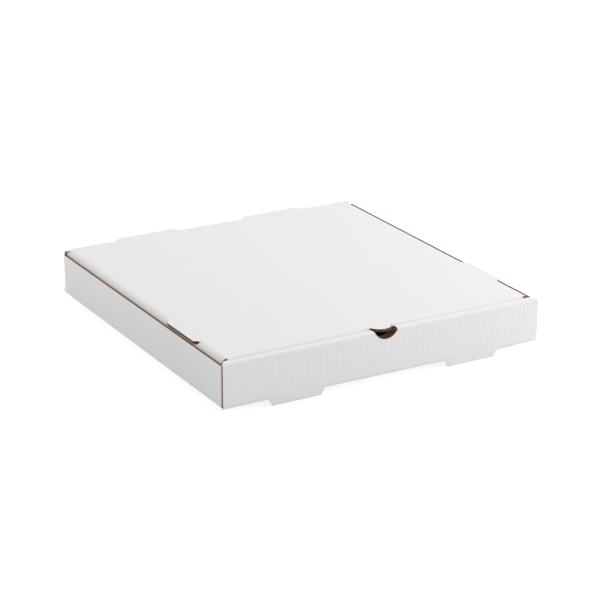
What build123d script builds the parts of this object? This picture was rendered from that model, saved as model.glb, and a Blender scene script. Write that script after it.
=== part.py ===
from build123d import *

import os

# One-piece corrugated pizza box with a double front wall and a hinged lid.
#
# Everything is die-cut and folded from one sheet of fluted board.  It is modelled as
# its two moving halves, the tray and the lid, in the closed position.  Lengths are in
# millimetres.  The helpers below work with x centred on the box, y = 0 on the outside of
# the front wall and z = 0 under the bottom panel; placed() moves the finished halves so
# that the origin is at the middle of the underside of the whole object.

# ---- the board ---------------------------------------------------------------
board = 3.0  # thickness of the fluted board
fold_radius = 3.0  # outside radius of a pressed fold
tight_fold_radius = 2.4  # outside radius of the roll-over's back fold and the hinge fold
loose_fold_radius = 5.0  # outside radius of the lid's softer side folds
layer_gap = 0.3  # air between layers that lie against each other
cut_gap = 0.5  # air round a tab that swings through its own cut-out

# ---- the box as a whole --------------------------------------------------------
inside_width = 406.4  # between the side walls
inside_depth = 406.4  # from the inner front wall to the hinge wall
box_height = 54.0  # underside of the bottom panel to the top of the lid

# ---- the tray ------------------------------------------------------------------
side_wall_gap = 1.0  # the side walls stop this far below the closed lid
front_wall_depth = 11.6  # outside of the front wall to the face of its inner ply
inner_ply_inset = 8.0  # the inner ply stops this far from each side of the box
hinge_wall_inset = 3.5  # the hinge wall stops this far from each side of the box
front_flap_length = 88.0  # corner flap trapped inside the front wall
rear_flap_length = 62.0  # corner flap lying inside the hinge wall
corner_flap_step = 3.0  # how far a corner flap's top edge starts below its side wall's
corner_flap_drop = 4.0  # how far a corner flap's top edge falls towards its tip
flap_lift = 0.5  # loose lower edges clear the bottom panel by this much

foot_tab_spacing = 229.2  # between the middles of the two tabs under the front wall
foot_tab_base = 69.0
foot_tab_tip = 61.0
foot_tab_reach = 7.5
slot_clearance = 0.4  # the bottom slots pass the locking tabs by this much
locking_tab_gap = 3.5  # between a locking tab and each end of its slot

notch_width = 31.0  # thumb notch, across its mouth
notch_depth = 11.3

# ---- the lid -------------------------------------------------------------------
lid_side_gap = 0.4  # lid flap to side wall
lid_front_gap = 0.4  # lid front flap to the inner ply
lid_flap_bottom = 9.0  # lower edge of the lid's side flaps
lid_flap_front_gap = 3.4  # from the inner ply to the front end of a side flap
lid_flap_back = 12.0  # from the back end of a side flap to the outside of the hinge wall
lid_flap_taper = 9.0  # how far each end of a side flap slants in over its height
front_flap_bottom = 14.0  # lower edge of the lid's front flap
front_flap_inset = 12.0  # the front flap stops this far from each side of the box
front_flap_lean = 3.6  # how far its lower edge leans back, to clear the front wall

side_tab_middle = 107.5  # middle of each side tab, from the outside of the front wall
side_tab_base = 76.0
side_tab_tip = 64.0
side_tab_inset = 3.0  # edge of the tab, from the side of the box

hinge_tab_spacing = 177.0
hinge_tab_base = 85.0
hinge_tab_tip = 73.0
hinge_tab_reach = 8.0
hinge_root_spare = 0.4  # a tab stays square for the board's thickness and this much more

lip_side_gap = 2.5  # the thumb lip over the notch is narrower than it by this much a side
lip_reach = 9.0  # of the lip, from the lid's front face

# ---- worked out from the sizes above --------------------------------------------
box_width = inside_width + 2 * board
box_depth = front_wall_depth + inside_depth + board
half_width = box_width / 2
lid_under = box_height - board  # underside of the lid, and of the front wall's top strip
flap_face = half_width - board - lid_side_gap  # outside of the lid's side flaps
crease_line = flap_face - loose_fold_radius  # where the lid's flat top ends
lid_front = front_wall_depth + lid_front_gap
lid_flap_front = front_wall_depth + lid_flap_front_gap
lip_width = notch_width - 2 * lip_side_gap
side_wall_height = lid_under - side_wall_gap
corner_flap_height = side_wall_height - corner_flap_step  # top edge of the corner flaps
locking_tab_width = foot_tab_tip - 2 * locking_tab_gap
trap_front = board + layer_gap  # outside of the front corner flaps
trap_back = box_depth - board - layer_gap  # outside of the rear corner flaps
hinge_tab_root = board + hinge_root_spare  # square part, which turns in the hinge wall's opening
opening_root = (hinge_tab_root**2 + board**2) ** 0.5 + cut_gap  # the root's corners sweep this far
opening_reach = (hinge_tab_reach**2 + board**2) ** 0.5  # and the corners of the tab's end this far
past = 1.0  # how far a cutter runs past the faces that it cuts


def outline(points, rounds=None):
    """A flat face with straight sides; rounds maps a corner's index to its radius."""
    face = make_face(Polyline(*points, close=True))
    for index, radius in (rounds or {}).items():
        corner = face.vertices().sort_by_distance(Vector(*points[index]))[0]
        face = fillet(corner, radius)
    return face


def block(x_range, y_range, z_range):
    """A box between the given limits."""
    sizes = [high - low for low, high in (x_range, y_range, z_range)]
    middle = [(low + high) / 2 for low, high in (x_range, y_range, z_range)]
    return Pos(*middle) * Box(*sizes)


def along_x(face, start, end):
    """A (y, z) face swept along x."""
    return Pos(start, 0, 0) * extrude(Plane.YZ * face, end - start)


def along_y(face, start, end):
    """An (x, z) face swept along y."""
    plane = Plane(origin=(0, 0, 0), x_dir=(1, 0, 0), z_dir=(0, -1, 0))
    return Pos(0, start, 0) * extrude(plane * face, -(end - start))


def along_z(face, start, end):
    """An (x, y) face swept along z."""
    return Pos(0, 0, start) * extrude(face, end - start)


def tab_points(middle, base, tip, start, end, root=0.0, grow=0.0):
    """Corners of a tab that reaches from start to end, which may lie on either side of it.

    The tab is base wide over its square root, narrows from there to tip, and is grown all
    round except at start.
    """
    onward = 1 if end > start else -1
    corner = start + root * onward
    outer = end + grow * onward
    base_half = base / 2 + grow
    tip_half = tip / 2 + grow
    points = [(middle - base_half, corner)]
    if root:
        points += [(middle - base_half, start), (middle + base_half, start)]
    points += [(middle + base_half, corner), (middle + tip_half, outer), (middle - tip_half, outer)]
    return points


def both_sides(shape):
    """The shape and its mirror image across the middle of the box."""
    return shape + mirror(shape, about=Plane.YZ)


def disc_cutter(width, depth, top, y_range):
    """A round bar along y whose lower arc is width across at the height top and depth deep there."""
    radius = (width**2 / 4 + depth**2) / (2 * depth)
    bar = Cylinder(radius, y_range[1] - y_range[0])
    return Pos(0, sum(y_range) / 2, top - depth + radius) * Rot(90, 0, 0) * bar


# ---- tray ------------------------------------------------------------------------


def tray_strip():
    """Inner ply, top strip, outer ply, bottom panel and hinge wall: one strip, folded four times."""
    wall_top = lid_under - layer_gap
    inner_bottom = board + flap_lift
    points = [
        (front_wall_depth, inner_bottom),
        (front_wall_depth, box_height),
        (0, box_height),
        (0, 0),
        (box_depth, 0),
        (box_depth, wall_top),
        (box_depth - board, wall_top),
        (box_depth - board, board),
        (board, board),
        (board, lid_under),
        (front_wall_depth - board, lid_under),
        (front_wall_depth - board, inner_bottom),
    ]
    folds = {1: tight_fold_radius, 2: fold_radius, 3: fold_radius, 4: fold_radius}
    return along_x(outline(points, folds), -half_width, half_width)


def strip_end_cuts():
    """What is trimmed off the strip at each end, so that the side walls and flaps have room."""
    edge = half_width + past
    inner_end = half_width - inner_ply_inset
    hinge_end = half_width - hinge_wall_inset
    slanted = outline(
        [
            (edge, board),
            (half_width, board),
            (inner_end, front_wall_depth - board),
            (inner_end, front_wall_depth + past),
            (edge, front_wall_depth + past),
        ]
    )
    rollover = along_z(slanted, board + flap_lift / 2, box_height + past)
    floor_edge = block((half_width - board, edge), (board, box_depth + past), (-past, board + flap_lift / 2))
    hinge_edge = block((hinge_end, edge), (trap_back, box_depth + past), (-past, box_height))
    return both_sides(rollover + floor_edge + hinge_edge)


def side_wall():
    """The right side wall with the edge of the bottom panel that it folds up from."""
    points = [
        (half_width - 2 * board, 0),
        (half_width, 0),
        (half_width, side_wall_height),
        (half_width - board, side_wall_height),
        (half_width - board, board),
        (half_width - 2 * board, board),
    ]
    return along_y(outline(points, {1: fold_radius}), trap_front + board, trap_back - board)


def corner_flaps():
    """The right side wall's two corner flaps, seen from above as one folded strip with the wall."""
    front_tip = half_width - front_flap_length
    rear_tip = half_width - rear_flap_length
    points = [
        (front_tip, trap_front),
        (half_width, trap_front),
        (half_width, trap_back),
        (rear_tip, trap_back),
        (rear_tip, trap_back - board),
        (half_width - board, trap_back - board),
        (half_width - board, trap_front + board),
        (front_tip, trap_front + board),
    ]
    strip = along_z(
        outline(points, {1: fold_radius, 2: fold_radius}), board + flap_lift, side_wall_height
    )
    root = half_width - 2 * board
    for tip, y_range in (
        (front_tip, (trap_front - past, trap_front + board + past)),
        (rear_tip, (trap_back - board - past, trap_back + past)),
    ):
        above = outline(
            [
                (root, corner_flap_height),
                (root, side_wall_height + past),
                (tip - past, side_wall_height + past),
                (tip - past, corner_flap_height - corner_flap_drop),
            ]
        )
        strip -= along_y(above, *y_range)
    return strip


def foot_tabs():
    """The two tabs that stay in line with the front wall and stand below the bottom panel."""
    middle = foot_tab_spacing / 2
    corners = tab_points(
        middle, foot_tab_base, foot_tab_tip, fold_radius, -foot_tab_reach, fold_radius
    )
    return both_sides(along_y(outline(corners), 0, board))


def bottom_slots():
    """The slots that the foot tabs leave in the bottom panel, cut on to take the locking tabs."""
    middle = foot_tab_spacing / 2
    far_edge = front_wall_depth + slot_clearance
    shape = outline(tab_points(middle, foot_tab_base, foot_tab_tip, board, far_edge))
    return both_sides(along_z(shape, -past, board + flap_lift / 2))


def locking_tabs():
    """The tabs on the inner ply's lower edge, which hold it down in the bottom slots."""
    middle = foot_tab_spacing / 2
    tab = block(
        (middle - locking_tab_width / 2, middle + locking_tab_width / 2),
        (front_wall_depth - board, front_wall_depth),
        (flap_lift / 2, board + 2 * flap_lift),
    )
    return both_sides(tab)


def hinge_wall_cutouts():
    """The openings that the hinge tabs leave in the hinge wall."""
    middle = hinge_tab_spacing / 2
    far_edge = lid_under - opening_reach
    corners = tab_points(
        middle, hinge_tab_base, hinge_tab_tip, lid_under, far_edge, opening_root, cut_gap
    )
    return both_sides(along_y(outline(corners), box_depth - board - past, box_depth + past))


def make_tray():
    """The tray: bottom panel, hinge wall, side walls with corner flaps and double front wall."""
    tray = tray_strip() - strip_end_cuts() - bottom_slots() - hinge_wall_cutouts()
    tray += both_sides(side_wall() + corner_flaps())
    tray += foot_tabs() + locking_tabs()
    notch_range = (-past, front_wall_depth + past)
    return tray - disc_cutter(notch_width, notch_depth, box_height, notch_range)


# ---- lid -------------------------------------------------------------------------


def lid_strip():
    """The lid's top panel and front flap, without side flaps."""
    back = box_depth - layer_gap
    foot = lid_front + front_flap_lean
    points = [
        (back, box_height),
        (lid_front, box_height),
        (foot, front_flap_bottom),
        (foot + board, front_flap_bottom),
        (lid_front + board, lid_under),
        (back, lid_under),
    ]
    strip = along_x(
        outline(points, {0: tight_fold_radius, 1: fold_radius}), -crease_line, crease_line
    )
    flap_end = half_width - front_flap_inset
    spare = block(
        (flap_end, half_width),
        (lid_front - past, lid_front + front_flap_lean + board + past),
        (front_flap_bottom - past, lid_under),
    )
    return strip - both_sides(spare)


def side_flap():
    """The lid's right side flap with its soft fold, without the opening that its tab leaves."""
    points = [
        (crease_line - board, box_height),
        (flap_face, box_height),
        (flap_face, lid_flap_bottom),
        (flap_face - board, lid_flap_bottom),
        (flap_face - board, lid_under),
        (crease_line - board, lid_under),
    ]
    section = outline(points, {1: loose_fold_radius, 4: loose_fold_radius - board})
    front, back = lid_flap_front, box_depth - lid_flap_back
    flap = along_y(section, front, back)
    for end, inward in ((front, 1), (back, -1)):
        slant = outline(
            [
                (end - past * inward, lid_under - loose_fold_radius),
                (end, lid_under - loose_fold_radius),
                (end + lid_flap_taper * inward, lid_flap_bottom - past),
                (end - past * inward, lid_flap_bottom - past),
            ]
        )
        flap -= along_x(slant, flap_face - board - past, flap_face + past)
    return flap


def side_tab():
    """The right side tab, which stays in line with the lid while the flap folds down round it."""
    start = crease_line - board
    edge = half_width - side_tab_inset
    corners = tab_points(side_tab_middle, side_tab_base, side_tab_tip, start, edge, board)
    return along_z(outline([(x, y) for y, x in corners]), lid_under, box_height)


def side_tab_opening():
    """The opening that the right side tab leaves in its flap, below the soft fold."""
    depth = half_width - side_tab_inset - crease_line
    top = box_height + past
    points = tab_points(
        side_tab_middle, side_tab_base, side_tab_tip, top, lid_under - depth, top - lid_under
    )
    return along_x(outline(points), crease_line, flap_face + past)


def hinge_tabs():
    """The two tabs that stay in line with the lid and stand out behind the hinge wall."""
    middle = hinge_tab_spacing / 2
    start = box_depth - fold_radius
    end = box_depth + hinge_tab_reach
    root = fold_radius + hinge_tab_root
    shape = outline(tab_points(middle, hinge_tab_base, hinge_tab_tip, start, end, root))
    return both_sides(along_z(shape, lid_under, box_height))


def thumb_lip():
    """The lip that stays in line with the lid and reaches out over the thumb notch."""
    radius = (lip_width**2 / 4 + lip_reach**2) / (2 * lip_reach)
    disc = Pos(0, lid_front - lip_reach + radius) * Circle(radius)
    front_part = Pos(0, lid_front - lip_reach / 2 + board / 2) * Rectangle(
        lip_width, lip_reach + board
    )
    plate = (disc & front_part) + Pos(0, lid_front + board) * Rectangle(lip_width, 2 * board)
    return along_z(plate, lid_under, box_height)


def make_lid():
    """The lid, closed: top panel, front flap, two side flaps, four tabs and the thumb lip."""
    side = side_flap() - side_tab_opening() + side_tab()
    lid = lid_strip() + both_sides(side) + hinge_tabs()
    lip_cut_range = (lid_front - past, lid_front + 2 * board)
    lid -= disc_cutter(lip_width, lip_reach, box_height, lip_cut_range)
    return lid + thumb_lip()


def placed(shape):
    """The shape moved so that the origin is at the middle of the whole object's underside."""
    return Pos(0, -(box_depth + hinge_tab_reach) / 2, foot_tab_reach) * shape


os.makedirs("parts", exist_ok=True)
export_step(placed(make_tray()), "parts/tray.step")
export_step(placed(make_lid()), "parts/lid.step")
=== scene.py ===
"""Looks of a one-piece corrugated pizza box, built round its packed tray and lid.

Every panel is real sandwich board: a white outer liner, a fluted medium and a kraft inner
liner, each a closed sheet of its own.  Sizes are in millimetres in the maker's own layout,
with x centred on the box, y = 0 on the outside of the front wall and z = 0 under the bottom
panel; Layout.to_scene() turns them into metres in the shared frame.
"""
from __future__ import annotations

import logging
import math
from dataclasses import dataclass, field
from enum import Enum

import bpy
import numpy as np
from mathutils import Matrix, Vector


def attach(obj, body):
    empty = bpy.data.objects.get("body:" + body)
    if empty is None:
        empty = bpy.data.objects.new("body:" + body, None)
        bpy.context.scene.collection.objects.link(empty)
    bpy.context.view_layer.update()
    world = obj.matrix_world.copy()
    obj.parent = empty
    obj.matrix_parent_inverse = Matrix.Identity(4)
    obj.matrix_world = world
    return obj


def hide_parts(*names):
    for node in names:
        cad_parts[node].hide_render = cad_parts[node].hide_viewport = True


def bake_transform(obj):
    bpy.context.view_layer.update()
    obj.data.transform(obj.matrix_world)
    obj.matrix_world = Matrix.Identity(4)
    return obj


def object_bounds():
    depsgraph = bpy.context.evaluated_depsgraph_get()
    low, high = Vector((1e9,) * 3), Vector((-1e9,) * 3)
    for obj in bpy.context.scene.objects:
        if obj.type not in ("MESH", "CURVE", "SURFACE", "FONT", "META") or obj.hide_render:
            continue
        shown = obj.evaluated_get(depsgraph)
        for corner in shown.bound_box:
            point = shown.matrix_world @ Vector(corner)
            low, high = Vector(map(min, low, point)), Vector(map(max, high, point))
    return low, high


logging.basicConfig(level=logging.INFO, format="%(message)s")
log = logging.getLogger("pizza_box")

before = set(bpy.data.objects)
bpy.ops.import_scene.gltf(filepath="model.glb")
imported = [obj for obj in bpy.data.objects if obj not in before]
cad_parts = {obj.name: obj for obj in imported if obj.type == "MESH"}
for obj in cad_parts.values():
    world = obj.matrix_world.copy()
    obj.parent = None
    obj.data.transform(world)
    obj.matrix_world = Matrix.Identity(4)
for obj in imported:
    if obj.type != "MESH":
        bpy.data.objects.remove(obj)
cad_low, cad_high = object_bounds()

MM = 0.001
NO_LENGTH = 1e-6
SMOOTH_BELOW = math.radians(35)


class Lie(Enum):
    """Which way a folded strip lies: the plane of its section, then the way it is drawn out."""

    SECTION_YZ = (1, 2, 0)
    SECTION_XZ = (0, 2, 1)
    SECTION_XY = (0, 1, 2)


class Flutes(Enum):
    """Which way a panel's flutes run: along its folded path, or straight across it."""

    ALONG_PATH = "along_path"
    ACROSS_PATH = "across_path"


class Cut(Enum):
    """How a cutter is used on a sheet."""

    TAKE_AWAY = "DIFFERENCE"
    KEEP_INSIDE = "INTERSECT"


class Liner(Enum):
    """The papers that a sheet's outside and its cut edges can be dressed in."""

    WHITE = "white"
    SIDE_WHITE = "side_white"
    CUT_EDGE = "edge"


@dataclass(frozen=True)
class Board:
    """The make-up of the fluted board, in millimetres."""

    thickness: float = 3.0
    liner: float = 0.3
    medium: float = 0.25
    pitch: float = 6.25
    skin: float = 0.02
    front_washboard: float = 0.08
    columns: int = 7
    face_columns: int = 6


@dataclass(frozen=True)
class Sizes:
    """The box's sizes in millimetres.

    Those down to lip_reach are what the tray and the lid were built to.  Those after it
    shape only the looks: soft folds, pressed tabs and the small gaps between panels.
    """

    inside_width: float = 406.4
    inside_depth: float = 406.4
    height: float = 54.0
    fold: float = 3.1
    layer_gap: float = 0.3
    cut_gap: float = 0.5
    side_wall_gap: float = 1.0
    front_wall_depth: float = 11.6
    inner_ply_inset: float = 8.0
    hinge_wall_inset: float = 3.5
    front_flap_length: float = 88.0
    rear_flap_length: float = 62.0
    corner_flap_step: float = 3.0
    corner_flap_drop: float = 4.0
    flap_lift: float = 0.5
    foot_tab_spacing: float = 229.2
    foot_tab_base: float = 69.0
    foot_tab_tip: float = 61.0
    foot_tab_reach: float = 7.5
    slot_clearance: float = 0.4
    locking_tab_gap: float = 3.5
    notch_width: float = 31.0
    notch_depth: float = 11.3
    lid_side_gap: float = 0.4
    lid_front_gap: float = 0.4
    lid_flap_bottom: float = 9.0
    lid_flap_front_gap: float = 3.4
    lid_flap_back: float = 12.0
    lid_flap_taper: float = 9.0
    lid_front_flap_bottom: float = 14.0
    lid_front_flap_inset: float = 12.0
    lid_front_flap_lean: float = 3.6
    side_tab_middle: float = 107.5
    side_tab_base: float = 76.0
    side_tab_tip: float = 64.0
    side_tab_inset: float = 3.0
    hinge_tab_spacing: float = 177.0
    hinge_tab_base: float = 85.0
    hinge_tab_tip: float = 73.0
    hinge_tab_reach: float = 8.0
    hinge_root_spare: float = 0.4
    lip_side_gap: float = 2.5
    lip_reach: float = 9.0
    soft_fold: float = 8.5
    seam_overlap: float = 0.5
    seam_sink: float = 0.03
    lip_hole_spare: float = 4.5
    pressed_edge: float = 1.5
    edge_spare: float = 0.06
    pressed_foot: float = 1.3
    rollover_start: float = 0.5
    rollover_inset: float = 5.0
    rollover_drop: float = 1.1
    corner_gap: float = 0.6
    fold_front: float = 9.4
    fold_back: float = 3.6
    board: Board = field(default_factory=Board)

    @property
    def width(self) -> float:
        """Outside width of the box."""
        return self.inside_width + 2 * self.board.thickness

    @property
    def depth(self) -> float:
        """Outside depth, from the front wall to the hinge wall."""
        return self.front_wall_depth + self.inside_depth + self.board.thickness

    @property
    def half(self) -> float:
        """Half of the outside width."""
        return self.width / 2

    @property
    def under_lid(self) -> float:
        """Height of the lid's underside."""
        return self.height - self.board.thickness

    @property
    def flap_face(self) -> float:
        """Outside face of the lid's side flaps."""
        return self.half - self.board.thickness - self.lid_side_gap

    @property
    def crease(self) -> float:
        """Where the lid's flat top ends and its side folds start."""
        return self.flap_face - self.soft_fold

    @property
    def lid_front(self) -> float:
        """Front face of the lid."""
        return self.front_wall_depth + self.lid_front_gap

    @property
    def lip_width(self) -> float:
        """Width of the thumb lip."""
        return self.notch_width - 2 * self.lip_side_gap

    @property
    def side_wall_top(self) -> float:
        """Raw top edge of the side walls."""
        return self.under_lid - self.side_wall_gap

    @property
    def trap_front(self) -> float:
        """Outside of the front corner flaps."""
        return self.board.thickness + self.layer_gap

    @property
    def trap_back(self) -> float:
        """Outside of the rear corner flaps."""
        return self.depth - self.board.thickness - self.layer_gap


@dataclass(frozen=True)
class Layout:
    """Turns the maker's layout into the shared frame."""

    sizes: Sizes

    def to_scene(self, points: np.ndarray) -> np.ndarray:
        """Move and scale points.

        Args:
            points: An (n, 3) array in millimetres.

        Returns:
            The points in metres in the shared frame.
        """
        overall = self.sizes.depth + self.sizes.hinge_tab_reach
        moved = points + np.array([0.0, -overall / 2, self.sizes.foot_tab_reach])
        return moved * MM


SIZES = Sizes()
LAYOUT = Layout(SIZES)


# ---- finishes ----------------------------------------------------------------------


class NodeBench:
    """A short-hand for wiring one material's nodes."""

    def __init__(self, name: str) -> None:
        """Make the material with an empty tree and its output.

        Args:
            name: The material's name.
        """
        self.material = bpy.data.materials.new(name)
        self.material.use_nodes = True
        self.nodes = self.material.node_tree.nodes
        self.links = self.material.node_tree.links
        self.nodes.clear()
        self.output = self.nodes.new("ShaderNodeOutputMaterial")

    def add(self, kind: str, **settings: object) -> bpy.types.Node:
        """Add a node and set its own properties.

        Args:
            kind: The node's type name.
            **settings: Properties of the node.

        Returns:
            The new node.
        """
        node = self.nodes.new(kind)
        for key, value in settings.items():
            setattr(node, key, value)
        return node

    def link(self, source: bpy.types.NodeSocket, target: bpy.types.NodeSocket) -> None:
        """Join two sockets."""
        self.links.new(source, target)

    def noise(self, vector: bpy.types.NodeSocket, scale: tuple,
              detail: float = 3.0) -> bpy.types.NodeSocket:
        """A stretched noise.

        Args:
            vector: The coordinates it reads.
            scale: How often it repeats per metre along x, y and z.
            detail: The noise's detail.

        Returns:
            The noise's value, about 0.5 on average.
        """
        mapping = self.add("ShaderNodeMapping")
        mapping.inputs["Scale"].default_value = scale
        self.link(vector, mapping.inputs["Vector"])
        texture = self.add("ShaderNodeTexNoise")
        texture.inputs["Scale"].default_value = 1.0
        texture.inputs["Detail"].default_value = detail
        self.link(mapping.outputs["Vector"], texture.inputs["Vector"])
        return texture.outputs["Fac"]

    def math(self, operation: str, first: object, second: object) -> bpy.types.NodeSocket:
        """A Math node on two values, each a socket or a number.

        Args:
            operation: The Math node's operation.
            first: Its first value.
            second: Its second value.

        Returns:
            The result's socket.
        """
        node = self.add("ShaderNodeMath", operation=operation)
        for socket, value in zip(node.inputs, (first, second)):
            if isinstance(value, (int, float)):
                socket.default_value = value
            else:
                self.link(value, socket)
        return node.outputs[0]


@dataclass(frozen=True)
class PaperFinish:
    """A paper liner: two close tones mixed by its fibres, with a fine bump."""

    name: str
    pale: tuple
    deep: tuple
    roughness: float
    fibre: float
    mottle: float
    bump: float
    streak_scale: tuple = (160.0, 9.0, 160.0)

    def make(self) -> bpy.types.Material:
        """Build the material.

        Returns:
            The new material.
        """
        bench = NodeBench(self.name)
        shader = bench.add("ShaderNodeBsdfPrincipled")
        shader.inputs["Roughness"].default_value = self.roughness
        shader.inputs["Specular IOR Level"].default_value = 0.25
        place = bench.add("ShaderNodeTexCoord").outputs["Object"]
        fibres = bench.noise(place, (1500.0, 1500.0, 1500.0), 4.0)
        clouds = bench.noise(place, (24.0, 24.0, 24.0), 3.0)
        streaks = bench.noise(place, self.streak_scale, 2.0)
        mixed = bench.math("MULTIPLY", fibres, self.fibre)
        mixed = bench.math("ADD", mixed, bench.math("MULTIPLY", clouds, self.mottle))
        mixed = bench.math("ADD", mixed, bench.math("MULTIPLY", streaks, self.mottle))
        blend = bench.add("ShaderNodeMix", data_type="RGBA")
        blend.inputs["A"].default_value = (*self.pale, 1.0)
        blend.inputs["B"].default_value = (*self.deep, 1.0)
        bench.link(mixed, blend.inputs["Factor"])
        bench.link(blend.outputs["Result"], shader.inputs["Base Color"])
        raised = bench.math("ADD", fibres, bench.math("MULTIPLY", streaks, 2.0))
        bump = bench.add("ShaderNodeBump")
        bump.inputs["Strength"].default_value = self.bump
        bump.inputs["Distance"].default_value = 0.05 * MM
        bench.link(raised, bump.inputs["Height"])
        bench.link(bump.outputs["Normal"], shader.inputs["Normal"])
        bench.link(shader.outputs["BSDF"], bench.output.inputs["Surface"])
        return bench.material


@dataclass(frozen=True)
class StudioFinish:
    """The pale floor: it shows white to the eye and keeps the soft shadow of what stands on it."""

    name: str = "studio_floor"
    tone: float = 0.82
    seen_tone: float = 0.30
    lift: float = 0.86

    def make(self) -> bpy.types.Material:
        """Build the material.

        Returns:
            The new material.
        """
        bench = NodeBench(self.name)
        matte = bench.add("ShaderNodeBsdfDiffuse")
        matte.inputs["Color"].default_value = (self.tone, self.tone, self.tone, 1.0)
        seen_matte = bench.add("ShaderNodeBsdfDiffuse")
        seen_matte.inputs["Color"].default_value = (self.seen_tone, self.seen_tone, self.seen_tone, 1.0)
        glow = bench.add("ShaderNodeEmission")
        glow.inputs["Strength"].default_value = self.lift
        rays = bench.add("ShaderNodeLightPath")
        straight = bench.math("MAXIMUM", rays.outputs["Is Camera Ray"], rays.outputs["Is Glossy Ray"])
        straight = bench.math("MAXIMUM", straight, rays.outputs["Is Transmission Ray"])
        seen = bench.add("ShaderNodeAddShader")
        bench.link(seen_matte.outputs["BSDF"], seen.inputs[0])
        bench.link(glow.outputs["Emission"], seen.inputs[1])
        either = bench.add("ShaderNodeMixShader")
        bench.link(straight, either.inputs["Fac"])
        bench.link(matte.outputs["BSDF"], either.inputs[1])
        bench.link(seen.outputs["Shader"], either.inputs[2])
        bench.link(either.outputs["Shader"], bench.output.inputs["Surface"])
        return bench.material


@dataclass
class Papers:
    """The papers that the board is made of, and the one that its cut edges show."""

    white: bpy.types.Material
    side_white: bpy.types.Material
    kraft: bpy.types.Material
    medium: bpy.types.Material
    edge: bpy.types.Material

    @classmethod
    def make(cls) -> "Papers":
        """Build every paper.

        Returns:
            The papers.
        """
        bleached = {"pale": (0.905, 0.903, 0.903), "deep": (0.84, 0.838, 0.838),
                    "roughness": 0.85, "fibre": 0.3, "mottle": 0.2, "bump": 0.5}
        white = PaperFinish("white_liner", **bleached, streak_scale=(330.0, 5.0, 5.0))
        side = PaperFinish("white_side_liner", **bleached, streak_scale=(5.0, 5.0, 330.0))
        kraft = PaperFinish("kraft_liner", pale=(0.62, 0.42, 0.26), deep=(0.46, 0.29, 0.165),
                            roughness=0.85, fibre=0.6, mottle=0.35, bump=0.6)
        medium = PaperFinish("fluted_medium", pale=(0.47, 0.25, 0.13), deep=(0.28, 0.14, 0.07),
                             roughness=0.9, fibre=0.6, mottle=0.35, bump=0.6)
        edge = PaperFinish("cut_edge", pale=(0.62, 0.28, 0.125), deep=(0.27, 0.115, 0.055),
                           roughness=0.95, fibre=0.6, mottle=0.4, bump=0.8)
        return cls(white.make(), side.make(), kraft.make(), medium.make(), edge.make())

    def pick(self, liner: Liner) -> bpy.types.Material:
        """The material of a named paper."""
        return getattr(self, liner.value)


# ---- sheets of board -----------------------------------------------------------------


@dataclass(frozen=True)
class Path:
    """A folded path with its board on the left of the way it runs.

    points are the corners of the board's outside, and radii maps a corner's index to the
    outside radius of its fold.
    """

    points: tuple
    radii: dict = field(default_factory=dict)
    arc_steps: int = 7
    run_step: float = 110.0
    easing: tuple = (1.2, 3.0, 6.0)

    def rail(self, inward: float) -> tuple[np.ndarray, np.ndarray, np.ndarray]:
        """Points along the path.

        Args:
            inward: How far inside the board's outer face they lie.

        Returns:
            The points, how far along the path each lies, and how open the flutes are there.
        """
        corners = [np.array(p, float) for p in self.points]
        ways = [(b - a) / np.linalg.norm(b - a) for a, b in zip(corners, corners[1:])]
        lefts = [np.array([-w[1], w[0]]) for w in ways]
        found, openness = [], []
        start = corners[0]
        for index, way in enumerate(ways):
            end = corners[index + 1]
            radius = self.radii.get(index + 1, 0.0) if index + 1 < len(ways) else 0.0
            turn = 0.0
            if index + 1 < len(ways):
                turn = math.acos(max(-1.0, min(1.0, float(way @ ways[index + 1]))))
            run_end = end - way * radius * math.tan(turn / 2)
            for share, open_here in self._run(start, run_end, index > 0, index + 1 < len(ways)):
                found.append(start + (run_end - start) * share + lefts[index] * inward)
                openness.append(open_here)
            if radius:
                centre = run_end + lefts[index] * radius
                for step in range(1, self.arc_steps):
                    angle = turn * step / self.arc_steps
                    cos, sin = math.cos(angle), math.sin(angle)
                    left = lefts[index]
                    spun = np.array([left[0] * cos - left[1] * sin, left[0] * sin + left[1] * cos])
                    found.append(centre - spun * (radius - inward))
                    openness.append(0.0)
                start = end + ways[index + 1] * radius * math.tan(turn / 2)
            else:
                start = end
        line = np.array(found)
        steps = np.linalg.norm(np.diff(line, axis=0), axis=1)
        return line, np.concatenate([[0.0], np.cumsum(steps)]), np.array(openness)

    def _run(self, start: np.ndarray, end: np.ndarray, folded_before: bool, folded_after: bool) -> list:
        """Where a straight run has points.

        Args:
            start: The run's first point.
            end: Its last point.
            folded_before: Whether a fold comes before it.
            folded_after: Whether a fold comes after it.

        Returns:
            Pairs of the share of the run and how open the flutes are there.
        """
        length = float(np.linalg.norm(end - start))
        if length < NO_LENGTH:
            return [(0.0, 0.0)]
        count = max(1, round(length / self.run_step))
        marks = {length * i / count for i in range(count)} | {length}
        if folded_before:
            marks |= {m for m in self.easing if m < length / 2}
        if folded_after:
            marks |= {length - m for m in self.easing if m < length / 2}
        full = self.easing[-1]
        out = []
        for mark in sorted(marks):
            near = min(mark if folded_before else full, (length - mark) if folded_after else full, full)
            share = near / full
            out.append((mark / length, share * share * (3 - 2 * share)))
        return out


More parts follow.
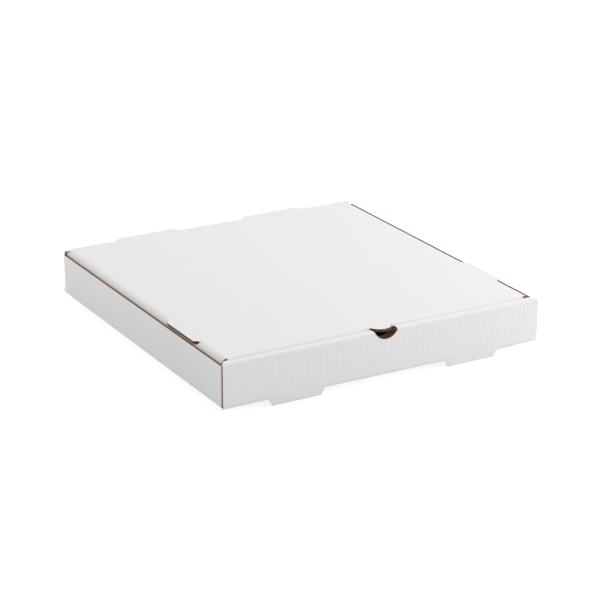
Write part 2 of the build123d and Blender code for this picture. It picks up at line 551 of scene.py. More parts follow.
class FluteTree:
    """The node tree that presses ribs into a sheet, along its own normals."""

    def __init__(self, name: str = "press_flutes") -> None:
        """Build the tree with its named inputs.

        Args:
            name: The tree's name.
        """
        self.tree = bpy.data.node_groups.new(name, "GeometryNodeTree")
        face = self.tree.interface
        face.new_socket("Sheet", in_out="INPUT", socket_type="NodeSocketGeometry")
        self.pitch = face.new_socket("Pitch", in_out="INPUT", socket_type="NodeSocketFloat")
        self.height = face.new_socket("Height", in_out="INPUT", socket_type="NodeSocketFloat")
        self.paper = face.new_socket("Paper", in_out="INPUT", socket_type="NodeSocketMaterial")
        face.new_socket("Sheet", in_out="OUTPUT", socket_type="NodeSocketGeometry")
        self._wire()

    def _math(self, operation: str, first: object, second: object = None) -> bpy.types.NodeSocket:
        """A Math node on sockets or numbers.

        Args:
            operation: The node's operation.
            first: Its first value.
            second: Its second value, where it takes one.

        Returns:
            The result's socket.
        """
        node = self.tree.nodes.new("ShaderNodeMath")
        node.operation = operation
        for socket, value in zip(node.inputs, (first, second)):
            if value is None:
                continue
            if isinstance(value, (int, float)):
                socket.default_value = value
            else:
                self.tree.links.new(value, socket)
        return node.outputs[0]

    def _attribute(self, name: str) -> bpy.types.NodeSocket:
        """The value of a float attribute.

        Args:
            name: The attribute's name.

        Returns:
            Its socket.
        """
        node = self.tree.nodes.new("GeometryNodeInputNamedAttribute")
        node.data_type = "FLOAT"
        node.inputs["Name"].default_value = name
        return node.outputs["Attribute"]

    def _wire(self) -> None:
        """Offset each point by a cosine of its place across the flutes."""
        nodes, links = self.tree.nodes, self.tree.links
        given = nodes.new("NodeGroupInput")
        turns = self._math("DIVIDE", self._attribute("across"), given.outputs["Pitch"])
        wave = self._math("COSINE", self._math("MULTIPLY", turns, math.tau))
        rise = self._math("MULTIPLY", wave, given.outputs["Height"])
        rise = self._math("MULTIPLY", rise, self._attribute("open"))
        scaled = nodes.new("ShaderNodeVectorMath")
        scaled.operation = "SCALE"
        links.new(nodes.new("GeometryNodeInputNormal").outputs["Normal"], scaled.inputs[0])
        links.new(rise, scaled.inputs["Scale"])
        moved = nodes.new("GeometryNodeSetPosition")
        links.new(given.outputs["Sheet"], moved.inputs["Geometry"])
        links.new(scaled.outputs["Vector"], moved.inputs["Offset"])
        real = nodes.new("GeometryNodeRealizeInstances")
        links.new(moved.outputs["Geometry"], real.inputs["Geometry"])
        dressed = nodes.new("GeometryNodeSetMaterial")
        links.new(real.outputs["Geometry"], dressed.inputs["Geometry"])
        links.new(given.outputs["Paper"], dressed.inputs["Material"])
        links.new(dressed.outputs["Geometry"], nodes.new("NodeGroupOutput").inputs["Sheet"])

    def press(self, obj: bpy.types.Object, pitch: float, height: float, paper: bpy.types.Material) -> None:
        """Put the tree on a sheet with its sizes in metres.

        Args:
            obj: The sheet's object.
            pitch: Distance from one flute to the next.
            height: Half of the ribs' rise.
            paper: The sheet's material.
        """
        modifier = obj.modifiers.new("flutes", "NODES")
        modifier.node_group = self.tree
        modifier[self.pitch.identifier] = pitch
        modifier[self.height.identifier] = height
        modifier[self.paper.identifier] = paper


def linked(name: str, mesh: bpy.types.Mesh) -> bpy.types.Object:
    """An object for a mesh, linked to the scene.

    Args:
        name: The object's name.
        mesh: Its mesh.

    Returns:
        The new object.
    """
    obj = bpy.data.objects.new(name, mesh)
    bpy.context.scene.collection.objects.link(obj)
    return obj


def settled(obj: bpy.types.Object) -> bpy.types.Object:
    """Turn an object's modifiers into plain mesh.

    Args:
        obj: The object.

    Returns:
        The same object, with no modifiers left.
    """
    bpy.context.view_layer.update()
    graph = bpy.context.evaluated_depsgraph_get()
    mesh = bpy.data.meshes.new_from_object(obj.evaluated_get(graph))
    obj.modifiers.clear()
    obj.data = mesh
    return obj


def prism(outline: list, lie: Lie, low: float, high: float, paper: bpy.types.Material) -> bpy.types.Object:
    """A straight-sided cutter.

    Args:
        outline: Its corners in the plane of the section, in millimetres.
        lie: Which way it lies.
        low: Where it starts, along the way it is drawn out.
        high: Where it ends.
        paper: The material that it leaves on what it cuts.

    Returns:
        The cutter's object, linked to the scene.
    """
    count = len(outline)
    points = np.zeros((2 * count, 3))
    first, second, third = lie.value
    for row, drawn in ((0, low), (count, high)):
        points[row : row + count, first] = [p[0] for p in outline]
        points[row : row + count, second] = [p[1] for p in outline]
        points[row : row + count, third] = drawn
    faces = [list(range(count)), list(range(2 * count - 1, count - 1, -1))]
    faces += [[i, i + count, (i + 1) % count + count, (i + 1) % count] for i in range(count)]
    mesh = bpy.data.meshes.new("cutter")
    mesh.from_pydata(LAYOUT.to_scene(points).tolist(), [], faces)
    mesh.materials.append(paper)
    centre = sum((v.co for v in mesh.vertices), Vector()) / len(mesh.vertices)
    volume = sum(poly.normal.dot(poly.center - centre) * poly.area for poly in mesh.polygons)
    if volume < 0:
        mesh.flip_normals()
    return linked("cutter", mesh)


def box_outline(u: tuple, v: tuple) -> list:
    """The four corners of an upright rectangle."""
    return [(u[0], v[0]), (u[1], v[0]), (u[1], v[1]), (u[0], v[1])]


def tab_outline(middle: float, base: float, tip: float, start: float, end: float,
                root: float = 0.0, grow: float = 0.0) -> list:
    """Corners of a tab that is square over its root and narrows to its tip.

    Args:
        middle: The tab's middle.
        base: Its width over the root.
        tip: Its width at the end.
        start: Where it starts.
        end: Where it ends, on either side of start.
        root: Length of the square part.
        grow: How much larger it is all round, except at its start.

    Returns:
        The corners, as (across, along) pairs.
    """
    onward = 1 if end > start else -1
    corner, outer = start + root * onward, end + grow * onward
    base_half, tip_half = base / 2 + grow, tip / 2 + grow
    points = [(middle - base_half, corner)]
    if root:
        points += [(middle - base_half, start), (middle + base_half, start)]
    return points + [(middle + base_half, corner), (middle + tip_half, outer), (middle - tip_half, outer)]


def disc_outline(width: float, depth: float, top: float, steps: int = 72) -> list:
    """A round cutter's section.

    Args:
        width: How wide it is at the height top.
        depth: How far it goes below that.
        top: The height of the edge that it cuts.
        steps: How many corners it has.

    Returns:
        The corners.
    """
    radius = (width**2 / 4 + depth**2) / (2 * depth)
    middle = top - depth + radius
    turns = [math.tau * i / steps for i in range(steps)]
    return [(radius * math.cos(t), middle + radius * math.sin(t)) for t in turns]


def swapped(outline: list) -> list:
    """The outline with its two directions exchanged."""
    return [(b, a) for a, b in outline]


def mirrored(outline: list) -> list:
    """The outline mirrored across the middle of the box."""
    return [(-a, b) for a, b in reversed(outline)]


@dataclass
class Cutter:
    """A cut through the board: an outline, the way it lies and how far it goes."""

    outline: list
    lie: Lie
    low: float
    high: float
    use: Cut = Cut.TAKE_AWAY


@dataclass
class Sheet:
    """One strip of board, folded along a path, with the cuts through it."""

    name: str
    path: Path
    lie: Lie
    low: float
    high: float
    flutes: Flutes
    cuts: list = field(default_factory=list)
    mirror: bool = False
    thickness: float = SIZES.board.thickness
    face: Liner = Liner.WHITE
    rim: Liner = Liner.CUT_EDGE
    washboard: float = 0.02

    def build(self, papers: Papers, tree: FluteTree) -> list:
        """Make the strip's three layers.

        Args:
            papers: The board's papers.
            tree: The tree that presses the flutes.

        Returns:
            The objects of the outer liner, the medium and the inner liner.
        """
        board = SIZES.board
        face, back, rim = papers.pick(self.face), papers.kraft, papers.pick(self.rim)
        cutters = [(prism(c.outline, c.lie, c.low, c.high, rim), c.use) for c in self.cuts]
        outer = board.liner / 2 + board.skin + self.washboard
        inner = self.thickness - board.liner / 2 - board.skin
        rise = (self.thickness - 2 * board.liner - board.medium) / 2 - board.skin - self.washboard
        layers = [
            (outer, board.liner, self.washboard, board.face_columns, face, back),
            (self.thickness / 2, board.medium, rise, board.columns, papers.medium, papers.medium),
            (inner, board.liner, 0.0, 1, back, back),
        ]
        made = [self._layer(*layer, rim, cutters, tree) for layer in layers]
        for cutter, _use in cutters:
            bpy.data.objects.remove(cutter)
        log.info("%s: %d faces", self.name, sum(len(o.data.polygons) for o in made))
        return made

    def _across(self, wanted: int) -> np.ndarray:
        """Where the sheet has points along the way it is drawn out.

        Args:
            wanted: How many columns each flute is to have.

        Returns:
            Their places in millimetres.
        """
        pitch = SIZES.board.pitch
        if self.flutes is Flutes.ALONG_PATH and wanted > 1:
            count = max(1, round((self.high - self.low) / pitch * wanted))
        else:
            count = max(1, round((self.high - self.low) / self.path.run_step))
        return np.linspace(self.low, self.high, count + 1)

    def _layer(self, inward: float, thickness: float, rise: float, columns: int,
               face: bpy.types.Material, back: bpy.types.Material, edge: bpy.types.Material,
               cutters: list, tree: FluteTree) -> bpy.types.Object:
        """One layer as a closed sheet, pressed, thickened and cut.

        Args:
            inward: How far inside the board's outer face its middle lies.
            thickness: Its paper's thickness.
            rise: Half of its ribs' height.
            columns: How many columns each flute has.
            face: The material of its outer side.
            back: The material of its inner side.
            edge: The material of its edges.
            cutters: Pairs of a cutter's object and its use.
            tree: The tree that presses the ribs.

        Returns:
            The layer's object.
        """
        line, along, openness = self.path.rail(inward)
        if self.flutes is Flutes.ACROSS_PATH and columns > 1:
            line, along, openness = self._finer(line, along, openness, columns)
        drawn = self._across(columns)
        rows, cols = len(line), len(drawn)
        points = np.zeros((rows, cols, 3))
        first, second, third = self.lie.value
        points[:, :, first] = line[:, None, 0]
        points[:, :, second] = line[:, None, 1]
        points[:, :, third] = drawn[None, :]
        across = np.repeat(drawn[None, :], rows, 0)
        if self.flutes is Flutes.ACROSS_PATH:
            across = np.repeat(along[:, None], cols, 1)
        opened = np.repeat(openness[:, None], cols, 1)
        if self.mirror:
            points[:, :, 0] *= -1
        index = np.arange(rows * cols).reshape(rows, cols)
        quads = np.stack([index[:-1, :-1], index[1:, :-1], index[1:, 1:], index[:-1, 1:]], -1)
        mesh = bpy.data.meshes.new(self.name)
        places = LAYOUT.to_scene(points.reshape(-1, 3))
        mesh.from_pydata(places.tolist(), [], quads.reshape(-1, 4).tolist())
        way = line[1] - line[0]
        outward = np.zeros(3)
        outward[first], outward[second] = way[1], -way[0]
        if self.mirror:
            outward[0] *= -1
        if mesh.polygons[0].normal.dot(Vector(outward)) < 0:
            mesh.flip_normals()
        for name, values in (("across", across * MM), ("open", opened)):
            attribute = mesh.attributes.new(name, "FLOAT", "POINT")
            attribute.data.foreach_set("value", values.ravel().astype(np.float32))
        obj = linked(self.name, mesh)
        tree.press(obj, SIZES.board.pitch * MM, rise * MM, face)
        settled(obj)
        obj.data.materials.clear()
        for paper in (face, back, edge):
            obj.data.materials.append(paper)
        thick = obj.modifiers.new("thickness", "SOLIDIFY")
        thick.thickness = thickness * MM
        thick.offset = 0.0
        thick.material_offset = 1
        thick.material_offset_rim = 2
        for cutter, use in cutters:
            cut = obj.modifiers.new("cut", "BOOLEAN")
            cut.object = cutter
            cut.operation = use.value
            cut.solver = "MANIFOLD"
            cut.material_mode = "TRANSFER"
        return settled(obj)

    def _finer(self, line: np.ndarray, along: np.ndarray, openness: np.ndarray, columns: int) -> tuple:
        """The rail with enough points on it for flutes that run across the path.

        Args:
            line: The rail's points.
            along: How far along the path each lies.
            openness: How open the flutes are at each.
            columns: How many points each flute is to have.

        Returns:
            The same three with more points.
        """
        count = max(2, round(along[-1] / SIZES.board.pitch * columns))
        marks = np.unique(np.concatenate([along, np.linspace(0.0, along[-1], count + 1)]))
        closest = 0.05
        marks = marks[np.concatenate([[True], np.diff(marks) > closest])]
        fine = np.stack([np.interp(marks, along, line[:, k]) for k in (0, 1)], -1)
        return fine, marks, np.interp(marks, along, openness)


def joined(name: str, parts: list) -> bpy.types.Object:
    """Several objects as one.

    Args:
        name: The new piece's name.
        parts: The objects to join.

    Returns:
        The piece.
    """
    papers = []
    for part in parts:
        for paper in part.data.materials:
            if paper not in papers:
                papers.append(paper)
    points, faces, slots = [], [], []
    for part in parts:
        start = len(points)
        points += [tuple(v.co) for v in part.data.vertices]
        order = [papers.index(paper) for paper in part.data.materials]
        for poly in part.data.polygons:
            faces.append([start + i for i in poly.vertices])
            slots.append(order[min(poly.material_index, len(order) - 1)])
        bpy.data.objects.remove(part)
    mesh = bpy.data.meshes.new(name)
    mesh.from_pydata(points, [], faces)
    for paper in papers:
        mesh.materials.append(paper)
    mesh.polygons.foreach_set("material_index", slots)
    mesh.shade_smooth()
    mesh.set_sharp_from_angle(angle=SMOOTH_BELOW)
    return linked(name, mesh)


# ---- the tray --------------------------------------------------------------------------


@dataclass
class TrayStrip:
    """Inner ply, top strip, outer ply, bottom panel and hinge wall, folded from one strip."""

    papers: Papers
    tree: FluteTree
    past: float = 1.0

    def cuts(self) -> list:
        """Every cut through the strip.

        Returns:
            The cutters.
        """
        s, t = SIZES, SIZES.board.thickness
        edge, inner, hinge = s.half + self.past, s.half - s.inner_ply_inset, s.half - s.hinge_wall_inset
        slanted = [
            (edge, t), (s.half, t), (inner, s.front_wall_depth - t),
            (inner, s.front_wall_depth + self.past), (edge, s.front_wall_depth + self.past),
        ]
        top_end = s.half - s.rollover_inset
        band_end = [
            (edge, s.rollover_start - self.past), (top_end, s.front_wall_depth - t),
            (top_end, s.front_wall_depth + self.past), (edge, s.front_wall_depth + self.past),
        ]
        floor = box_outline((s.half - t, edge), (t, s.depth + self.past))
        wall = box_outline((hinge, edge), (s.trap_back, s.depth + self.past))
        slot = tab_outline(s.foot_tab_spacing / 2, s.foot_tab_base, s.foot_tab_tip, t,
                           s.front_wall_depth + s.slot_clearance)
        sweep = math.hypot(s.hinge_tab_reach, t)
        root = math.hypot(t + s.hinge_root_spare, t) + s.cut_gap
        opening = tab_outline(s.hinge_tab_spacing / 2, s.hinge_tab_base, s.hinge_tab_tip,
                              s.under_lid, s.under_lid - sweep, root, s.cut_gap)
        found = [Cutter(disc_outline(s.notch_width, s.notch_depth, s.height), Lie.SECTION_XZ,
                        -self.past, s.front_wall_depth + self.past)]
        for turned in (list, mirrored):
            found += [
                Cutter(turned(slanted), Lie.SECTION_XY, t + s.flap_lift / 2, s.side_wall_top),
                Cutter(turned(band_end), Lie.SECTION_XY, s.side_wall_top, s.height + self.past),
                Cutter(turned(floor), Lie.SECTION_XY, -self.past, t + s.flap_lift / 2),
                Cutter(turned(wall), Lie.SECTION_XY, t + s.flap_lift, s.height),
                Cutter(turned(slot), Lie.SECTION_XY, -self.past, t + s.flap_lift / 2),
                Cutter(turned(opening), Lie.SECTION_XZ, s.depth - t - self.past, s.depth + self.past),
            ]
        return found

    def build(self) -> bpy.types.Object:
        """Make the strip's piece.

        Returns:
            The piece.
        """
        s, t = SIZES, SIZES.board.thickness
        path = Path(
            (
                (s.front_wall_depth, t + s.flap_lift),
                (s.front_wall_depth, s.height - s.rollover_drop),
                (0.0, s.height - s.rollover_drop),
                (0.0, 0.0),
                (s.depth, 0.0),
                (s.depth, s.under_lid - s.layer_gap),
            ),
            {1: s.fold, 2: s.fold, 3: s.fold, 4: s.fold},
        )
        end = s.half - s.edge_spare
        sheet = Sheet("tray_strip", path, Lie.SECTION_YZ, -end, end, Flutes.ALONG_PATH, self.cuts(),
                      washboard=s.board.front_washboard)
        return joined("tray_strip", sheet.build(self.papers, self.tree))


@dataclass
class SideWall:
    """A side wall with its fold from the bottom panel and its two corner flaps."""

    papers: Papers
    tree: FluteTree
    mirror: bool
    past: float = 1.0

    def build(self) -> bpy.types.Object:
        """Make the side wall's piece.

        Returns:
            The piece.
        """
        s, t = SIZES, SIZES.board.thickness
        side = "left" if self.mirror else "right"
        turned = mirrored if self.mirror else list
        front_tip, rear_tip = s.half - s.front_flap_length, s.half - s.rear_flap_length
        plan = Path(
            (
                (front_tip, s.trap_front + s.corner_gap), (s.half, s.trap_front + s.corner_gap),
                (s.half, s.trap_back), (rear_tip, s.trap_back),
            ),
            {1: s.fold, 2: s.fold},
        )
        cuts = []
        flap_top = s.side_wall_top - s.corner_flap_step
        for tip, low, high in (
            (front_tip, s.trap_front - self.past, s.trap_front + t + self.past),
            (rear_tip, s.trap_back - t - self.past, s.trap_back + self.past),
        ):
            above = [
                (s.half - 2 * t, flap_top),
                (s.half - 2 * t, s.side_wall_top + self.past),
                (tip - self.past, s.side_wall_top + self.past),
                (tip - self.past, flap_top - s.corner_flap_drop),
            ]
            cuts.append(Cutter(turned(above), Lie.SECTION_XZ, low, high))
        wall = Sheet(f"side_wall_{side}", plan, Lie.SECTION_XY, t + s.flap_lift, s.side_wall_top,
                     Flutes.ALONG_PATH, cuts, mirror=self.mirror, face=Liner.SIDE_WHITE)
        join = 0.01
        section = Path(
            ((s.half - 2 * t, 0.0), (s.half, 0.0), (s.half, t + s.flap_lift + join)), {1: s.fold}
        )
        fold = Sheet(
            f"side_fold_{side}", section, Lie.SECTION_XZ, s.trap_front + s.corner_gap, s.trap_back - t,
            Flutes.ACROSS_PATH, mirror=self.mirror,
        )
        parts = wall.build(self.papers, self.tree) + fold.build(self.papers, self.tree)
        return joined(f"side_wall_{side}", parts)


@dataclass
class TrayTabs:
    """The foot tabs under the front wall and the locking tabs of the inner ply."""

    papers: Papers
    tree: FluteTree
    past: float = 1.0

    def build(self) -> bpy.types.Object:
        """Make the tabs' piece.

        Returns:
            The piece.
        """
        s, t = SIZES, SIZES.board.thickness
        parts = []
        for side in (-1, 1):
            middle = side * s.foot_tab_spacing / 2
            shape = tab_outline(middle, s.foot_tab_base, s.foot_tab_tip, s.fold, -s.foot_tab_reach, s.fold)
            spare, reach = self.past / 2, s.foot_tab_base / 2 + self.past
            foot = Sheet(
                "foot_tab", Path(((0.0, s.fold + spare), (0.0, -s.foot_tab_reach - spare))),
                Lie.SECTION_YZ, middle - reach, middle + reach, Flutes.ALONG_PATH,
                [Cutter(shape, Lie.SECTION_XZ, -self.past, t + self.past, Cut.KEEP_INSIDE)],
                thickness=s.pressed_foot, rim=Liner.WHITE, washboard=s.board.front_washboard,
            )
            width = s.foot_tab_tip - 2 * s.locking_tab_gap
            back = s.front_wall_depth
            lock = Sheet(
                "locking_tab", Path(((back, s.flap_lift / 2), (back, t + s.flap_lift))),
                Lie.SECTION_YZ, middle - width / 2, middle + width / 2, Flutes.ALONG_PATH,
            )
            parts += foot.build(self.papers, self.tree) + lock.build(self.papers, self.tree)
        return joined("front_wall_tabs", parts)


# ---- the lid ---------------------------------------------------------------------------


@dataclass
class LidPanel:
    """The lid's top with its front flap and the hole that the thumb lip leaves."""

    papers: Papers
    tree: FluteTree
    past: float = 1.0

    def build(self) -> bpy.types.Object:
        """Make the panel's piece.

        Returns:
            The piece.
        """
        s, t = SIZES, SIZES.board.thickness
        path = Path(
            (
                (s.depth - s.layer_gap, s.height),
                (s.lid_front, s.height),
                (s.lid_front + s.lid_front_flap_lean, s.lid_front_flap_bottom),
            ),
            {1: s.fold},
        )
        spare = box_outline(
            (s.half - s.lid_front_flap_inset, s.half),
            (s.lid_front - self.past, s.lid_front + s.lid_front_flap_lean + t + self.past),
        )
        hole = disc_outline(s.lip_width + s.lip_side_gap, s.lip_reach + s.lip_hole_spare, s.height)
        cuts = [Cutter(hole, Lie.SECTION_XZ, s.lid_front - self.past, s.lid_front + s.fold)]
        clear_of_top, through = 0.1, 4 * t
        behind = [(x, z) for x, z in hole if z < s.under_lid - clear_of_top]
        cuts.append(Cutter(behind, Lie.SECTION_XZ, s.lid_front + s.fold - self.past,
                           s.lid_front + through))
        for turned in (list, mirrored):
            cuts.append(Cutter(turned(spare), Lie.SECTION_XY, s.lid_front_flap_bottom - self.past,
                               s.under_lid))
        sheet = Sheet("lid_panel", path, Lie.SECTION_YZ, -s.crease, s.crease, Flutes.ALONG_PATH, cuts)
        return joined("lid_panel", sheet.build(self.papers, self.tree))


@dataclass
class LidFlap:
    """A lid side flap with its soft fold and the tab that stays level with the lid."""

    papers: Papers
    tree: FluteTree
    mirror: bool
    past: float = 1.0
    fold_steps: int = 14
    sliver: float = 0.02

    def build(self) -> bpy.types.Object:
        """Make the flap's piece.

        Returns:
            The piece.
        """
        s, t = SIZES, SIZES.board.thickness
        side = "left" if self.mirror else "right"
        front, back = s.fold_front, s.depth - s.fold_back
        lower_front = s.front_wall_depth + s.lid_flap_front_gap
        lower_back = s.depth - s.lid_flap_back
        level = s.height - s.seam_sink
        seam = -s.crease + s.seam_overlap
        section = Path(
            ((seam, level), (-s.flap_face, level), (-s.flap_face, s.lid_flap_bottom)),
            {1: s.soft_fold}, arc_steps=self.fold_steps,
        )
        knee = s.side_wall_top - s.corner_flap_step + s.flap_lift
        low_end = s.lid_flap_bottom - self.past
        cuts = []
        for end, upper, inward in ((lower_front, front, 1), (lower_back, back, -1)):
            slant = [
                (upper - self.past * inward, knee), (end, knee),
                (end + s.lid_flap_taper * inward, low_end), (upper - self.past * inward, low_end),
            ]
            cuts.append(self._sideways(slant, s.flap_face - t - self.past, s.flap_face + self.past))
        reach = s.half - s.side_tab_inset - s.crease
        dip = s.soft_fold * (1 - math.cos(reach / s.soft_fold))
        top = s.height + self.past
        opening = tab_outline(s.side_tab_middle, s.side_tab_base, s.side_tab_tip, top,
                              s.height - dip, self.past + s.board.thickness)
        cuts.append(self._sideways(opening, s.crease + self.sliver, s.flap_face + self.past))
        outer, inner = s.flap_face + self.past, s.crease - self.past
        beside_band, behind_band = s.half - s.rollover_inset - 3 * s.layer_gap, s.lid_front + s.layer_gap
        oblique = [
            (outer, front - self.past), (outer, front), (s.flap_face, front),
            (beside_band, behind_band), (inner, behind_band), (inner, front - self.past),
        ]
        if self.mirror:
            oblique = mirrored(oblique)
        cuts.append(Cutter(oblique, Lie.SECTION_XY, knee, s.height + self.past))
        flap = Sheet(f"lid_flap_{side}", section, Lie.SECTION_XZ, front, back, Flutes.ACROSS_PATH,
                     cuts, mirror=not self.mirror)
        edge, root = s.half - s.side_tab_inset, s.crease - 0.8 * s.seam_overlap
        corners = tab_outline(s.side_tab_middle, s.side_tab_base, s.side_tab_tip, root, edge, t)
        shape = swapped(corners)
        if self.mirror:
            shape = mirrored(shape)
        long = s.side_tab_base / 2 + self.past
        tab = Sheet(
            f"side_tab_{side}", Path(((seam, s.height), (-edge - self.past, s.height))), Lie.SECTION_XZ,
            s.side_tab_middle - long, s.side_tab_middle + long, Flutes.ACROSS_PATH,
            [Cutter(shape, Lie.SECTION_XY, s.under_lid - self.past, s.height + self.past, Cut.KEEP_INSIDE)],
            mirror=not self.mirror, thickness=s.pressed_edge,
        )
        parts = flap.build(self.papers, self.tree) + tab.build(self.papers, self.tree)
        return joined(f"lid_flap_{side}", parts)

    def _sideways(self, outline: list, low: float, high: float) -> Cutter:
        """A cutter that goes through the flap from the side.

        Args:
            outline: Its corners, as (depth, height) pairs.
            low: Where it starts, out from the box's middle.
            high: Where it ends.

        Returns:
            The cutter, on the flap's own side of the box.
        """
        if self.mirror:
            low, high = -high, -low
        return Cutter(outline, Lie.SECTION_YZ, low, high)


@dataclass
class LidEdgeTabs:
    """The two hinge tabs behind the lid and the thumb lip in front of it."""

    papers: Papers
    tree: FluteTree
    past: float = 1.0

    def build(self) -> bpy.types.Object:
        """Make the tabs' piece.

        Returns:
            The piece.
        """
        s, t = SIZES, SIZES.board.thickness
        parts = []
        start, end = s.depth - s.fold, s.depth + s.hinge_tab_reach
        for side in (-1, 1):
            middle = side * s.hinge_tab_spacing / 2
            root = s.fold + t + s.hinge_root_spare
            shape = tab_outline(middle, s.hinge_tab_base, s.hinge_tab_tip, start, end, root)
            reach = s.hinge_tab_base / 2 + self.past
            tab = Sheet(
                "hinge_tab", Path(((end + self.past, s.height), (start - self.past, s.height))),
                Lie.SECTION_YZ, middle - reach, middle + reach, Flutes.ALONG_PATH, [self._kept(shape)],
            )
            parts += tab.build(self.papers, self.tree)
        back, front = s.lid_front + s.fold, s.lid_front - s.lip_reach - self.past
        reach = s.lip_width / 2 + s.lip_side_gap
        lip = Sheet("thumb_lip", Path(((back, s.height), (front, s.height))), Lie.SECTION_YZ,
                    -reach, reach, Flutes.ALONG_PATH, [self._kept(self._lip_shape())])
        parts += lip.build(self.papers, self.tree)
        return joined("lid_edge_tabs", parts)

    def _kept(self, shape: list) -> Cutter:
        """A cutter that leaves only the shape, through the lid's thickness."""
        return Cutter(shape, Lie.SECTION_XY, SIZES.under_lid - self.past, SIZES.height + self.past,
                      Cut.KEEP_INSIDE)

    def _lip_shape(self, steps: int = 40) -> list:
        """The lip's outline: an arc in front and a straight back.

        Args:
            steps: How many sides the arc has.

        Returns:
            The corners.
        """
        s = SIZES
        radius = (s.lip_width**2 / 4 + s.lip_reach**2) / (2 * s.lip_reach)
        middle = s.lid_front - s.lip_reach + radius
        half_turn = math.asin(min(1.0, s.lip_width / 2 / radius))
        if radius < s.lip_reach:
            half_turn = math.pi - half_turn
        turns = [-half_turn + 2 * half_turn * i / steps for i in range(steps + 1)]
        arc = [(radius * math.sin(a), middle - radius * math.cos(a)) for a in turns]
        root = (s.lip_width + s.lip_side_gap) / 2
        return arc + [(root, s.lid_front), (root, s.lid_front + s.fold), (-root, s.lid_front + s.fold),
                      (-root, s.lid_front)]


@dataclass
class HingeCrease:
    """The white liner where it runs unbroken from the hinge wall over the crease onto the lid."""

    papers: Papers
    overlap: float = 6.0
    thickness: float = 0.28
    steps: int = 8
    turn_height: float = 3.5
    top_band: float = 0.0005

    def turning_zone(self) -> np.ndarray:
        """Where the liner starts to turn with the lid, and where it has wholly turned."""
        s = SIZES
        return LAYOUT.to_scene(np.array([[0.0, s.depth, s.under_lid - self.turn_height],
                                         [0.0, s.depth, s.under_lid]]))

    def build(self) -> bpy.types.Object:
        """Make the crease between the two hinge tabs and beside them.

        Returns:
            The piece, as one closed strip for each span.
        """
        s = SIZES
        path = Path(
            (
                (s.depth, s.under_lid - self.overlap),
                (s.depth, s.height),
                (s.depth - self.overlap, s.height),
            ),
            {1: s.fold}, arc_steps=self.steps, run_step=1.5,
        )
        line, inner = path.rail(0.0)[0], path.rail(self.thickness)[0]
        half = s.half - s.hinge_wall_inset
        gap, root = s.hinge_tab_spacing / 2, s.hinge_tab_base / 2 + s.cut_gap
        spans = [(-half, -gap - root), (-gap + root, gap - root), (gap + root, half)]
        points, faces = [], []
        for low, high in spans:
            base = len(points)
            loop = [*line, *inner[::-1]]
            count = len(loop)
            for x in (low, high):
                points += [(x, p[0], p[1]) for p in loop]
            faces += [[base + i, base + (i + 1) % count, base + count + (i + 1) % count, base + count + i]
                      for i in range(count)]
            last = len(line)
            for start in (0, count):
                for i in range(last - 1):
                    quad = [base + start + i, base + start + i + 1,
                            base + start + count - 2 - i, base + start + count - 1 - i]
                    faces.append(quad if start else quad[::-1])
        mesh = bpy.data.meshes.new("hinge_crease")
        mesh.from_pydata(LAYOUT.to_scene(np.array(points)).tolist(), [], faces)
        mesh.materials.append(self.papers.white)
        mesh.shade_smooth()
        mesh.set_sharp_from_angle(angle=SMOOTH_BELOW)
        obj = linked("hinge_crease", mesh)
        top = [poly for poly in mesh.polygons if poly.center.z > cad_high.z - self.top_band]
        if sum(poly.normal.z * poly.area for poly in top) < 0:
            mesh.flip_normals()
        return obj


# ---- studio ------------------------------------------------------------------------------


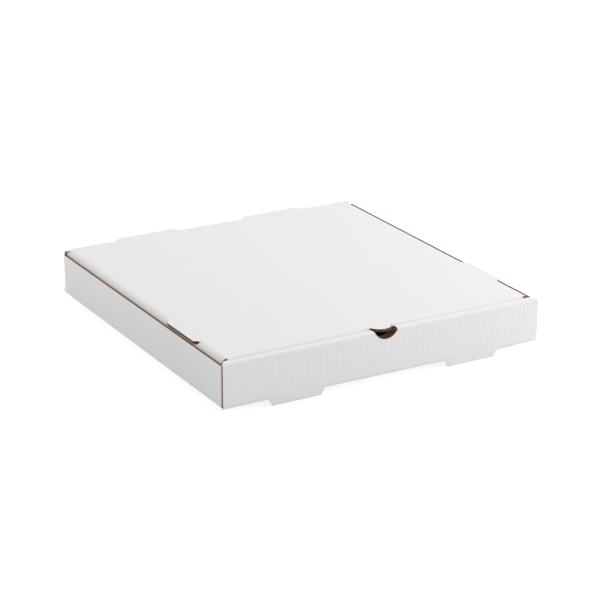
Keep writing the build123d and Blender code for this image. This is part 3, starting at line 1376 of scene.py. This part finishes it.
@dataclass(frozen=True)
class Studio:
    """Camera, floor and lights."""

    place: tuple = (-1.1824, -2.0776, 0.9242)
    azimuth: float = -29.892
    elevation: float = 20.586
    roll: float = 0.178
    lens: float = 127.9
    sensor: float = 36.0
    view_end: float = 50.0
    floor_reach: float = 12.0
    world_strength: float = 0.53
    lamps: tuple = (
        ("key", (2.2, 0.6, 2.6), 1.6, 42.0),
        ("right_front", (1.35, -1.0, 0.55), 0.6, 11.0),
        ("left_back", (-1.9, 1.3, 0.9), 1.0, 10.0),
    )

    def camera(self) -> None:
        """Set up the camera."""
        data = bpy.data.cameras.new("camera")
        data.sensor_width, data.lens = self.sensor, self.lens
        data.clip_end = self.view_end
        camera = bpy.data.objects.new("camera", data)
        bpy.context.scene.collection.objects.link(camera)
        a, e = math.radians(self.azimuth), math.radians(self.elevation)
        back = Vector((math.sin(a) * math.cos(e), -math.cos(a) * math.cos(e), math.sin(e)))
        right = Vector((math.cos(a), math.sin(a), 0.0))
        up = back.cross(right)
        r = math.radians(self.roll)
        turned_right = right * math.cos(r) + up * math.sin(r)
        turned_up = up * math.cos(r) - right * math.sin(r)
        rotation = Matrix((turned_right, turned_up, back)).transposed()
        camera.matrix_world = Matrix.Translation(Vector(self.place)) @ rotation.to_4x4()
        bpy.context.scene.camera = camera

    def floor(self) -> None:
        """A wide plain floor under the box."""
        size = self.floor_reach
        mesh = bpy.data.meshes.new("floor")
        corners = [(-size, -size, 0), (size, -size, 0), (size, size, 0), (-size, size, 0)]
        mesh.from_pydata(corners, [], [(0, 1, 2, 3)])
        mesh.materials.append(StudioFinish().make())
        linked("floor", mesh)

    def lamp(self, name: str, place: tuple, size: float, power: float) -> None:
        """A square soft box that faces the object.

        Args:
            name: The lamp's name.
            place: Where it stands, in metres.
            size: Its side.
            power: Its power in watts.
        """
        data = bpy.data.lights.new(name, "AREA")
        data.size, data.energy = size, power
        lamp = bpy.data.objects.new(name, data)
        bpy.context.scene.collection.objects.link(lamp)
        lamp.location = place
        lamp.rotation_mode = "QUATERNION"
        lamp.rotation_quaternion = Vector(place).to_track_quat("Z", "Y")

    def world(self, strength: float) -> None:
        """Even light from all round, which shows white to the eye.

        Args:
            strength: How much light it gives.
        """
        world = bpy.data.worlds.new("studio")
        world.use_nodes = True
        bpy.context.scene.world = world
        nodes, links = world.node_tree.nodes, world.node_tree.links
        ground = nodes["Background"]
        seen = nodes.new("ShaderNodeLightPath")
        straight = nodes.new("ShaderNodeMath")
        straight.operation = "MAXIMUM"
        links.new(seen.outputs["Is Camera Ray"], straight.inputs[0])
        links.new(seen.outputs["Is Glossy Ray"], straight.inputs[1])
        through = nodes.new("ShaderNodeMath")
        through.operation = "MAXIMUM"
        links.new(straight.outputs[0], through.inputs[0])
        links.new(seen.outputs["Is Transmission Ray"], through.inputs[1])
        level = nodes.new("ShaderNodeMix")
        level.data_type = "FLOAT"
        level.inputs["A"].default_value = strength
        level.inputs["B"].default_value = 1.0
        links.new(through.outputs[0], level.inputs["Factor"])
        links.new(level.outputs["Result"], ground.inputs["Strength"])
        ground.inputs["Color"].default_value = (1.0, 1.0, 1.0, 1.0)

    def build(self) -> None:
        """Make the whole studio."""
        self.camera()
        self.floor()
        self.world(self.world_strength)
        for lamp in self.lamps:
            self.lamp(*lamp)
        bpy.context.scene.view_settings.view_transform = "Standard"


def put_on(piece: bpy.types.Object, body: str, node: str) -> None:
    """Fasten a piece to a body, in place of its plain node.

    Args:
        piece: The piece.
        body: The body that it moves with.
        node: The plain node that it stands for.
    """
    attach(piece, body)
    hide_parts(node)
    log.info("%s rides on %s: %d faces", piece.name, body, len(piece.data.polygons))


def main() -> None:
    """Build the studio and the box, and report each piece that rides on the tray or the lid."""
    Studio().build()
    papers, tree = Papers.make(), FluteTree()
    tray = [TrayStrip(papers, tree), SideWall(papers, tree, True), SideWall(papers, tree, False),
            TrayTabs(papers, tree)]
    lid = [LidPanel(papers, tree), LidFlap(papers, tree, True), LidFlap(papers, tree, False),
           LidEdgeTabs(papers, tree)]
    for part in tray:
        put_on(part.build(), "tray", "tray")
    for part in lid:
        put_on(part.build(), "lid", "lid")
    hinge = HingeCrease(papers)
    crease, ends = hinge.build(), hinge.turning_zone()
    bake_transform(crease)


if __name__ == "__main__":
    main()
